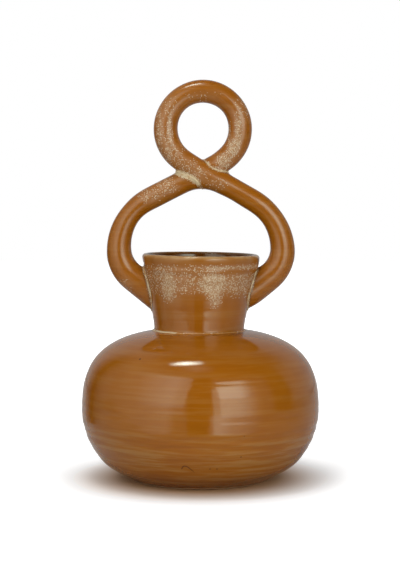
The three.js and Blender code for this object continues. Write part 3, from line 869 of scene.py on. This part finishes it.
# Each tone of the streaks: its colour, the noise where it starts and is full, and its share.
STREAK_COATS = [("#99692f", 0.45, 0.65, 1.0), ("#80450a", 0.48, 0.34, 0.5)]
FOOT_DARK_FROM, FOOT_DARK_FULL, FOOT_DARK_SHARE = 16.0, 2.0, 0.4
amber, tree = new_finish("amber_iron_glaze")
place = add(tree, "TexCoord").outputs["Object"]
height = add(tree, "SeparateXYZ", inputs={"Vector": place}).outputs["Z"]
level = add(tree, "Mapping", inputs={"Vector": place, "Scale": (STREAK_STRETCH, STREAK_STRETCH, 1)})
streak = add(tree, "TexNoise", inputs={
    "Vector": level, "Scale": 1 / (STREAK_MM * MM), "Detail": 4.0, "Roughness": 0.6})
cloud = add(tree, "TexNoise", inputs={"Vector": place, "Scale": 1 / (CLOUD_MM * MM), "Detail": 3.0})
honey = add(tree, "Mix", COLOURS, {MIX_FACTOR: cloud, MIX_A: srgb("#894b04"), MIX_B: srgb("#975a0f")})
low = add(tree, "MapRange", inputs={
    "Value": height, "From Min": STREAKS_FROM * MM, "From Max": STREAKS_FULL * MM, "To Min": STREAKS_ABOVE})
coats = []
for code, start, full, most in STREAK_COATS:
    part = add(tree, "MapRange", SMOOTH, {
        "Value": streak, "From Min": start, "From Max": full, "To Max": most})
    share = add(tree, "Math", TIMES, {0: part, 1: low})
    coats.append((share, code))
foot = add(tree, "MapRange", SMOOTH, {
    "Value": height, "From Min": FOOT_DARK_FROM * MM, "From Max": FOOT_DARK_FULL * MM,
    "To Max": FOOT_DARK_SHARE})
coats.append((foot, "#623406"))
print("amber glaze streaks:", STREAK_MM, "mm high")

# %% [markdown]
# The crystals are cream grains on a hazy ground. Real ones are about half a millimetre across. They
# are drawn coarser, so that a picture of the whole vase still shows them. Each cell of a cell
# pattern has a chance of its own and grows a grain where the bloom passes it, so that patches thin
# out grain by grain. A noise alone would make them fade, and the real ones don't.

# %% Amber glaze: crystals
CRYSTAL_MM, GRAIN_MM, DRIFT_MM = 0.6, 0.85, 7.0
DRIFT_SHARE, GRAIN_RAGGED, GRAIN_FAINTEST = 0.6, 0.35, 0.45
GRAIN_BARE, GRAIN_FULL, GRAIN_SPARE = -0.25, 0.46, 0.1
GRAIN_EDGE = (-0.3, -0.06)
HAZE_FULL, HAZE_SHARE = 0.7, 0.8
RIME_FROM, RIME_SHARE = 0.5, 0.3
bloom, thin, inside_shade, crease_shade, film, rolled = (
    add(tree, "Attribute", {"attribute_name": name}).outputs["Fac"]
    for name in ("bloom", "thin", "inside_shade", "crease_shade", "film", "rolled"))
crystal = add(tree, "TexNoise", inputs={
    "Vector": place, "Scale": 1 / (CRYSTAL_MM * MM), "Detail": 1.0, "Roughness": 0.5})
drift = add(tree, "TexNoise", inputs={"Vector": place, "Scale": 1 / (DRIFT_MM * MM), "Detail": 3.0})
drifted = add(tree, "Math", TIMES_PLUS, {0: drift, 1: DRIFT_SHARE, 2: -DRIFT_SHARE / 2})
cover = add(tree, "Math", TIMES_PLUS, {0: drifted, 1: bloom, 2: bloom})
grain = add(tree, "TexVoronoi", inputs={"Vector": place, "Scale": 1 / (GRAIN_MM * MM)})
chance = add(tree, "SeparateColor", inputs={"Color": grain.outputs["Color"]}).outputs
spare = add(tree, "Math", MINUS, {0: cover, 1: chance["Red"]})
grown = add(tree, "MapRange", inputs={
    "Value": spare, "From Max": GRAIN_SPARE, "To Min": GRAIN_BARE, "To Max": GRAIN_FULL})
ragged = add(tree, "Math", TIMES_PLUS, {0: crystal, 1: GRAIN_RAGGED, 2: grain.outputs["Distance"]})
over = add(tree, "Math", MINUS, {0: grown, 1: ragged})
strength = add(tree, "MapRange", inputs={"Value": chance["Green"], "To Min": GRAIN_FAINTEST})
cream = add(tree, "MapRange", SMOOTH, {
    "Value": over, "From Min": GRAIN_EDGE[0], "From Max": GRAIN_EDGE[1], "To Max": strength})
haze = add(tree, "MapRange", inputs={"Value": bloom, "From Max": HAZE_FULL, "To Max": HAZE_SHARE})
rime = add(tree, "MapRange", SMOOTH, {
    "Value": cover, "From Min": RIME_FROM, "From Max": 1.0, "To Max": RIME_SHARE})
coats += [(haze, "#9c704a"), (rime, "#b9a07a")]
print("crystals about", GRAIN_MM, "mm")

# %% [markdown]
# On the lip the clay shines through in blotches, and then the crystals lie over it. The slip that
# was wiped over the clay has a torn edge, and beside it the glaze is painted darker as crevice shade.

# %% Amber glaze: thin lip and wiped slip
BLOTCH_FROM, BLOTCH_FULL, BLOTCH_LEAST, BLOTCH_MOST = 0.35, 0.65, 0.5, 1.2
TEAR, TORN_FROM, TORN_FULL, FILM_EDGE = 2.4, 1.55, 1.85, 0.15
blotch = add(tree, "MapRange", inputs={
    "Value": drift, "From Min": BLOTCH_FROM, "From Max": BLOTCH_FULL,
    "To Min": BLOTCH_LEAST, "To Max": BLOTCH_MOST})
worn = add(tree, "Math", TIMES, {0: thin, 1: blotch})
torn = add(tree, "Math", TIMES_PLUS, {0: crystal, 1: TEAR, 2: film})
wiped = add(tree, "MapRange", inputs={"Value": film, "From Max": FILM_EDGE})
film_part = add(tree, "MapRange", SMOOTH, {
    "Value": torn, "From Min": TORN_FROM, "From Max": TORN_FULL, "To Max": wiped})
# The dark brown inside the neck and the globe is painted shade.
coats += [
    # The dark brown beside the slip is painted shade.
    (worn, "#a88556"), (cream, "#c8b898"), (inside_shade, "#5a3208"), (crease_shade, "#5a2e06"),
    (film_part, "#c3ae88")]
print("coats so far:", len(coats))

# %% [markdown]
# Pinholes are dark dots where gas left the glaze. A few iron specks and a curled mark low on the
# globe belong to this vase. They are given as round spots, the curl as a close row of them.

# %% Amber glaze: pinholes, specks and the curl
PINHOLE_MM, PINHOLE_SPACING_MM, SPOT_EDGE_MM = 0.2, 13.0, 0.15
# Each speck: its place to the right and up, and its radius, in mm.
SPECKS = [(-43.6, 96.9, 0.75), (31, 44.5, 0.5), (29, 28.8, 0.5), (6.9, 20.1, 0.5), (11.9, 20, 0.5)]
CURL = [(-13.2, 20.1), (-12.3, 22.5), (-9.6, 22.3), (-6.9, 19.9), (-4, 17.5), (-4.5, 15.9)]
CURL_WIDTH, CURL_SPACING, CURL_BLUR = 0.45, 0.8, 0.8
globe_wall = outside[outside[:, 0] > FOOT_RADIUS]


def on_globe(right, up):
    """The point of the globe's front that lies so far to the right and up, in mm."""
    out = np.interp(up, globe_wall[:, 1], globe_wall[:, 0])
    return right, -math.sqrt(out ** 2 - right ** 2), up


pit = add(tree, "TexVoronoi", inputs={"Vector": place, "Scale": 1 / (PINHOLE_SPACING_MM * MM)})
nearest = add(tree, "Math", TIMES_PLUS, {
    0: pit.outputs["Distance"], 1: PINHOLE_SPACING_MM * MM, 2: -PINHOLE_MM * MM})
curl = [(*point, CURL_WIDTH) for point in softened(CURL, CURL_SPACING, CURL_BLUR)]
for right, up, radius in SPECKS + curl:
    spot = [part * MM for part in on_globe(right, up)]
    far = add(tree, "VectorMath", {"operation": "DISTANCE"}, {0: place, 1: spot})
    edge = add(tree, "Math", MINUS, {0: far.outputs["Value"], 1: radius * MM})
    nearest = add(tree, "Math", SMALLEST, {0: nearest, 1: edge})
dark_spot = add(tree, "MapRange", inputs={
    "Value": nearest, "From Min": SPOT_EDGE_MM * MM, "From Max": -SPOT_EDGE_MM * MM})
coats.append((dark_spot, "#4a2a0c"))
print(f"pinholes of {PINHOLE_MM} mm, {len(SPECKS)} specks and a curl of {len(curl)} spots")

# %% [markdown]
# The glaze's surface is wavy like thin ice, with fine level lines from the wheel, and the crystals
# stand up from it and are duller. These are too shallow for the mesh, so they are bump. The coil was
# rolled and never smoothed on the wheel, so its glaze is a little duller too. Glass has an index of
# about 1.5. What the glaze mirrors looks faintly green, so its specular colour is too.

# %% Amber glaze: surface
PEEL_MM, PEEL_DEPTH_MM = 9.0, 0.05
LINE_DEPTH_MM, CRYSTAL_DEPTH_MM = 0.03, 0.06
WHEEL_ROUGH, COIL_ROUGH, CRYSTAL_ROUGH = 0.1, 0.2, 0.42
GLASS_INDEX = 1.5
colour = honey
for share, code in coats:
    colour = add(tree, "Mix", COLOURS, {MIX_FACTOR: share, MIX_A: colour, MIX_B: srgb(code)})
peel = add(tree, "TexNoise", inputs={"Vector": place, "Scale": 1 / (PEEL_MM * MM), "Detail": 2.0})
lean = {}
for relief, depth in ((peel, PEEL_DEPTH_MM), (streak, LINE_DEPTH_MM), (cream, CRYSTAL_DEPTH_MM)):
    bump = add(tree, "Bump", inputs={"Height": relief, "Distance": depth * MM, **lean})
    lean = {"Normal": bump}
dull = add(tree, "Math", LARGEST, {0: cream, 1: film_part})
coil_gloss = add(tree, "MapRange", inputs={"Value": rolled, "To Min": WHEEL_ROUGH, "To Max": COIL_ROUGH})
gloss = add(tree, "MapRange", inputs={"Value": dull, "To Min": coil_gloss, "To Max": CRYSTAL_ROUGH})
glaze = add(tree, "BsdfPrincipled", inputs={
    "Base Color": colour, "Roughness": gloss, "IOR": GLASS_INDEX, "Specular Tint": srgb("#f1ffef"), **lean})
add(tree, "OutputMaterial", inputs={"Surface": glaze})
for piece in (globe, neck, handle):
    piece.data.materials.append(amber)
print("amber glaze of", len(coats), "coats on the globe, the neck and the handle")

# %% [markdown]
# Cream slip: liquid white clay that dried, took little glaze and fired satin. To the eye it is a pale
# greyish cream with amber stains where the glaze ran over it. How much of a line is stained is kept
# on its points.

# %% Cream slip
STAIN_MM, STAIN_SHARE, STAIN_FROM, STAIN_FULL = 2.6, 0.4, 0.62, 0.8
GRIT_MM, GRIT_DEPTH_MM = 0.6, 0.12
SLIP_ROUGH, STAIN_ROUGH = 0.5, 0.25
slip, tree = new_finish("cream_clay_slip")
place = add(tree, "TexCoord").outputs["Object"]
stain = add(tree, "TexNoise", inputs={"Vector": place, "Scale": 1 / (STAIN_MM * MM), "Detail": 3.0})
grit = add(tree, "TexNoise", inputs={"Vector": place, "Scale": 1 / (GRIT_MM * MM), "Detail": 2.0})
share = add(tree, "Attribute", {"attribute_name": "stain"}).outputs["Fac"]
stained = add(tree, "Math", TIMES_PLUS, {0: share, 1: STAIN_SHARE, 2: stain})
stain_part = add(tree, "MapRange", SMOOTH, {
    "Value": stained, "From Min": STAIN_FROM, "From Max": STAIN_FULL})
slip_colour = add(tree, "Mix", COLOURS, {
    MIX_FACTOR: stain_part, MIX_A: srgb("#c4b18b"), MIX_B: srgb("#a8763c")})
slip_bump = add(tree, "Bump", inputs={"Height": grit, "Distance": GRIT_DEPTH_MM * MM})
slip_gloss = add(tree, "MapRange", inputs={"Value": stain_part, "To Min": SLIP_ROUGH, "To Max": STAIN_ROUGH})
slip_skin = add(tree, "BsdfPrincipled", inputs={
    "Base Color": slip_colour, "Roughness": slip_gloss, "IOR": GLASS_INDEX, "Normal": slip_bump})
add(tree, "OutputMaterial", inputs={"Surface": slip_skin})
for piece in (neck_slip, *root_slips, crossing_slip):
    piece.data.materials.append(slip)
print("cream slip on", 2 + len(root_slips), "lines")

# %% [markdown]
# Bare stoneware: the foot is wiped clean of glaze, so that it doesn't stick to the kiln shelf. To
# the eye it is matt, sandy and buff. It is a second material on the globe's lowest faces.

# %% Bare foot
GROG_MM, GROG_DEPTH_MM, CLAY_ROUGH = 0.9, 0.15, 0.85
WIPED_HEIGHT, WIPED_INSIDE = 0.9, ring_inside - 1
bare, tree = new_finish("bare_buff_stoneware")
place = add(tree, "TexCoord").outputs["Object"]
grog = add(tree, "TexNoise", inputs={"Vector": place, "Scale": 1 / (GROG_MM * MM), "Detail": 4.0})
clay = add(tree, "Mix", COLOURS, {MIX_FACTOR: grog, MIX_A: srgb("#8f6d4c"), MIX_B: srgb("#c4a27c")})
clay_bump = add(tree, "Bump", inputs={"Height": grog, "Distance": GROG_DEPTH_MM * MM})
clay_skin = add(tree, "BsdfPrincipled", inputs={
    "Base Color": clay, "Roughness": CLAY_ROUGH, "IOR": GLASS_INDEX, "Normal": clay_bump})
add(tree, "OutputMaterial", inputs={"Surface": clay_skin})
globe.data.materials.append(bare)
for face in globe.data.polygons:
    is_ring = math.hypot(*face.center[:2]) > WIPED_INSIDE * MM
    face.material_index = int(is_ring and face.center.z < WIPED_HEIGHT * MM)
print("bare stoneware on", sum(face.material_index for face in globe.data.polygons), "faces of the foot")

# %% [markdown]
# The camera stands where the photograph was taken from: a little over a metre in front of the vase,
# slightly above the neck's rim and looking down a little. The picture is upright, so the sensor's
# size counts for its long side.

# %% Camera
PICTURE_HEIGHT_PX, FOCAL_PX, SENSOR_MM = 570, 1452.4, 36
CAMERA_PLACE, CAMERA_DOWN = (-0.00023, -1.1069, 0.2104), 3.276
camera = bpy.data.objects.new("camera", bpy.data.cameras.new("camera"))
camera.data.sensor_width = SENSOR_MM
camera.data.lens = FOCAL_PX * SENSOR_MM / PICTURE_HEIGHT_PX
camera.location = CAMERA_PLACE
camera.rotation_euler = (math.radians(90 - CAMERA_DOWN), 0, 0)
bpy.context.scene.collection.objects.link(camera)
bpy.context.scene.camera = camera
bpy.context.scene.view_settings.view_transform = "Standard"
print(f"camera: {camera.data.lens:.2f} mm lens")

# %% [markdown]
# The studio: a pale table in a white surround. Away from the vase the table adds just enough light
# of its own to come out white. White paint alone could do that, but the lamps would then have to be
# far too strong. That added light fades out towards the vase, so the grey ring round the foot is
# partly the vase's real shadow and partly painted shadow. The vase stands near the table's front
# edge, because its glaze mirrors what stands lower than the table there. In front of that edge the
# same pale floor goes on for the camera alone. The glaze mirrors only a small share of the white,
# from behind the vase. Close to the foot the floor's colour is painted darker and warmer, as painted
# contact shadow and painted amber bounce light.

# %% Pale floor
# Each lift: the distances from the vase's middle where it starts and is full, in m, and its share of white.
LIFTS = [(0.056, 0.13, 0.73), (0.13, 0.5, 0.27)]
BEHIND, MIRRORED_SHARE = (0.1, 0.5), 0.1
CONTACT_START, CONTACT_END = 0.055, 0.11
FLOOR_ROUGH = 0.9


def seen_white(tree, way):
    """How much of the white surround a ray shows: all to the lens, a little to mirrored rays going back."""
    ray = add(tree, "LightPath").outputs
    back = add(tree, "SeparateXYZ", inputs={"Vector": way}).outputs["Y"]
    behind = add(tree, "MapRange", SMOOTH, {
        "Value": back, "From Min": BEHIND[0], "From Max": BEHIND[1], "To Max": MIRRORED_SHARE})
    shown = add(tree, "Math", TIMES, {0: ray["Is Glossy Ray"], 1: behind})
    for kind in ("Is Camera Ray", "Is Transmission Ray"):
        shown = add(tree, "Math", LARGEST, {0: ray[kind], 1: shown})
    return shown


pale, tree = new_finish("pale_floor")
spot = add(tree, "TexCoord").outputs["Object"]
far = add(tree, "VectorMath", {"operation": "LENGTH"}, {0: spot}).outputs["Value"]
way = add(tree, "VectorMath", {"operation": "NORMALIZE"}, {0: spot}).outputs["Vector"]
# Less lift near the vase leaves a grey ring there: partly real shadow, partly painted shadow.
lift = 0.0
for start, end, most in LIFTS:
    step = add(tree, "MapRange", SMOOTH, {"Value": far, "From Min": start, "From Max": end, "To Max": most})
    lift = add(tree, "Math", inputs={0: step, 1: lift})
glow = add(tree, "Math", TIMES, {0: seen_white(tree, way), 1: lift})
# Painted contact shadow and painted bounce light: the floor is darker and warmer close to the foot.
contact_shade_and_glow = add(tree, "MapRange", SMOOTH, {"Value": far, "From Min": CONTACT_START, "From Max": CONTACT_END})
floor_colour = add(tree, "Mix", COLOURS, {
    MIX_FACTOR: contact_shade_and_glow, MIX_A: srgb("#c49c70"), MIX_B: srgb("#c8c8c8")})
ground = add(tree, "BsdfPrincipled", inputs={
    "Base Color": floor_colour, "Roughness": FLOOR_ROUGH, "Emission Color": (1, 1, 1, 1),
    "Emission Strength": glow})
add(tree, "OutputMaterial", inputs={"Surface": ground})
print(f"the floor is plain white from {LIFTS[-1][1]} m on")

# %% [markdown]
# The table and the floor in front of it are two flat sheets with one finish, because only a sheet of
# its own can be hidden from mirrored light. They aren't part of the vase.

# %% Table and front floor
FLOOR_HALF, TABLE_FRONT, FLOOR_DROP = 4.0, -0.165, 0.0005


def stage_sheet(name, corners, finish):
    """A flat sheet of the studio, which isn't part of the vase."""
    mesh = bpy.data.meshes.new(name)
    mesh.from_pydata(corners, [], [(0, 1, 2, 3)])
    mesh.materials.append(finish)
    sheet = bpy.data.objects.new(name, mesh)
    bpy.context.scene.collection.objects.link(sheet)
    print(f"{name}: corners at {[tuple(round(part, 2) for part in corner) for corner in corners]}")
    return sheet


def floor_corners(front, back):
    return [(right * FLOOR_HALF, depth, -FLOOR_DROP) for right, depth in (
        (-1, front), (1, front), (1, back), (-1, back))]


stage_sheet("table", floor_corners(TABLE_FRONT, FLOOR_HALF), pale)
front_floor = stage_sheet("front_floor", floor_corners(-FLOOR_HALF, TABLE_FRONT), pale)
front_floor.visible_glossy = front_floor.visible_diffuse = front_floor.visible_shadow = False

# %% [markdown]
# Soft boxes stand on both sides of the lens, as wide as the glaze's reflections show, and a small
# strip hangs above with a dim halo in front of it. One behind fills the shade at the back, and the
# glaze doesn't mirror it. Their cloth dims towards the edges. Lamps in a row could imitate that in
# steps, but an area lamp knows the place on its own face, and that gives a smooth fade.

# %% Soft boxes
FOCUS = Vector((0, 0, 0.09))
# Name, azimuth and elevation in degrees, distance, width and height in metres, glow and fades.
# Azimuth 0 is at the lens, plus is right. Fades are the shares of the width or the height over which
# the cloth dims towards its left, right, lower and upper edge.
SOFT_BOXES = [
    ("left_box", -39, 22.5, 1.0, 0.93, 0.95, 1.3, (0.75, 0, 0.15, 0)),
    ("left_far_box", -57, 14, 1.2, 1.76, 1.7, 0.8, (0.8, 0.16, 0, 0)),
    ("right_box", 36.4, 3, 1.0, 0.92, 1.0, 1.35, (0, 0.7, 0, 0)),
    ("right_mid_box", 36, 14, 1.0, 0.66, 0.76, 1.45, (0, 0.45, 0, 0)),
    ("right_top_box", 33, 21.8, 1.0, 0.53, 0.41, 1.8, (0, 0.3, 0, 0)),
    ("right_low_box", 18.2, -14, 1.0, 0.34, 0.38, 0.9, (0, 0.5, 0.3, 0)),
    ("top_halo", -8, 66, 0.95, 0.5, 0.35, 1.2, (0.5, 0.5, 0.5, 0.5)),
    ("top_strip", 0, 90, 0.9, 0.4, 0.2, 36.0, (0.5, 0.5, 0.5, 0.5)),
    ("back_fill", 180, 8, 1.5, 1.8, 1.0, 2.4, (0.3, 0.3, 0, 0))]
STRIP_RIGHT, STRIP_BACK = -0.155, -0.165


def faded(tree, place, axes, fades):
    """1 inside a face and 0 at its left, right, lower and upper edge, where its fade isn't 0."""
    share = 1.0
    for axis, edge, fade in zip(axes, (0, 1, 0, 1), fades):
        if fade > 0:
            part = add(tree, "MapRange", inputs={
                "Value": place[axis], "From Min": edge, "From Max": abs(edge - fade)})
            share = add(tree, "Math", TIMES, {0: part, 1: share}).outputs[0]
    return share


def soft_box(name, azimuth, elevation, distance, width, height, glow, fades):
    """A lamp that faces the vase."""
    lamp = bpy.data.lights.new(name, "AREA")
    lamp.shape = "RECTANGLE"
    lamp.size, lamp.size_y = width, height
    lamp.energy = glow * math.pi * width * height
    lamp.use_nodes = True
    tree = lamp.node_tree
    face = add(tree, "NewGeometry").outputs["Parametric"]
    place = add(tree, "SeparateXYZ", inputs={"Vector": face}).outputs
    tree.links.new(faded(tree, place, "XXYY", fades), tree.nodes["Emission"].inputs["Strength"])
    turn, rise = math.radians(azimuth), math.radians(elevation)
    way = Vector((math.sin(turn) * math.cos(rise), -math.cos(turn) * math.cos(rise), math.sin(rise)))
    box = bpy.data.objects.new(name, lamp)
    box.location = FOCUS + distance * way
    box.rotation_euler = way.to_track_quat("Z", "Y").to_euler()
    box.visible_camera = False
    bpy.context.scene.collection.objects.link(box)
    print(f"{name}: {width} by {height} m")
    return box


boxes = {row[0]: soft_box(*row) for row in SOFT_BOXES}
boxes["top_strip"].location.x, boxes["top_strip"].location.y = STRIP_RIGHT, STRIP_BACK
boxes["back_fill"].visible_glossy = False

# %% [markdown]
# The room is grey, darker overhead and sooner so on the right, and the camera sees it as white. A
# picture of a real studio could light the vase too, but a plain room is easier to change.

# %% Room
ROOM_GREY, ROOM_DARK, ROOM_LEAN = 0.38, 0.04, 0.3
DARK_FROM, DARK_FULL = 0.7, 0.92
room = bpy.data.worlds.new("grey_room")
bpy.context.scene.world = room
room.use_nodes = True
tree = room.node_tree
way = add(tree, "TexCoord").outputs["Generated"]
part = add(tree, "SeparateXYZ", inputs={"Vector": way}).outputs
climb = add(tree, "Math", TIMES_PLUS, {0: part["X"], 1: ROOM_LEAN, 2: part["Z"]})
shade = add(tree, "MapRange", SMOOTH, {
    "Value": climb, "From Min": DARK_FROM, "From Max": DARK_FULL, "To Min": ROOM_GREY, "To Max": ROOM_DARK})
surround = add(tree, "MapRange", inputs={"Value": seen_white(tree, way), "To Min": shade, "To Max": 1.0})
tree.links.new(surround.outputs["Result"], tree.nodes["Background"].inputs["Color"])
print(f"room: grey {ROOM_GREY}, and {ROOM_DARK} overhead")

# %% [markdown]
# Three cards of dark felt give the glaze its dark stripes: one behind the lens and one on each side.
# Those at the sides thin out towards their edges, so that the stripes end softly. The camera doesn't
# see the cards, and they throw no shadow. Felt is matted wool, so it is matt, and here it is dyed dark.

# %% Dark cards
FELT_ROUGH = 0.95
# Name, azimuth in degrees, distance, half width, lower and upper edge in metres, and fades.
DARK_CARDS = [
    ("lens_card", 0, 1.32, 0.29, -0.55, 1.5, (0, 0, 0, 0)),
    ("left_card", -111, 0.266, 0.1, 0, 0.43, (0.45, 0.45, 0, 0.4)),
    ("right_card", 84, 1.3, 0.38, 0, 2.2, (0.25, 0.25, 0, 0))]


def dark_felt(name, fades):
    """Felt that thins out towards the edges of its card."""
    felt, tree = new_finish(name)
    spot = add(tree, "TexCoord").outputs["Generated"]
    place = add(tree, "SeparateXYZ", inputs={"Vector": spot}).outputs
    cloth = add(tree, "BsdfPrincipled", inputs={"Base Color": srgb("#161412"), "Roughness": FELT_ROUGH})
    clear = add(tree, "BsdfTransparent")
    gauze = add(tree, "MixShader", inputs={0: faded(tree, place, "XXZZ", fades), 1: clear, 2: cloth})
    add(tree, "OutputMaterial", inputs={"Surface": gauze})
    return felt


def dark_card(name, azimuth, distance, half_width, low, high, fades):
    """An upright card that only the glaze mirrors."""
    turn = math.radians(azimuth)
    middle = Vector((math.sin(turn), -math.cos(turn), 0)) * distance
    across = Vector((math.cos(turn), math.sin(turn), 0)) * half_width
    card = stage_sheet(name, [
        middle + sign * across + Vector((0, 0, up))
        for sign, up in ((-1, low), (1, low), (1, high), (-1, high))], dark_felt(name + "_felt", fades))
    card.visible_camera = card.visible_diffuse = card.visible_shadow = False


for row in DARK_CARDS:
    dark_card(*row)
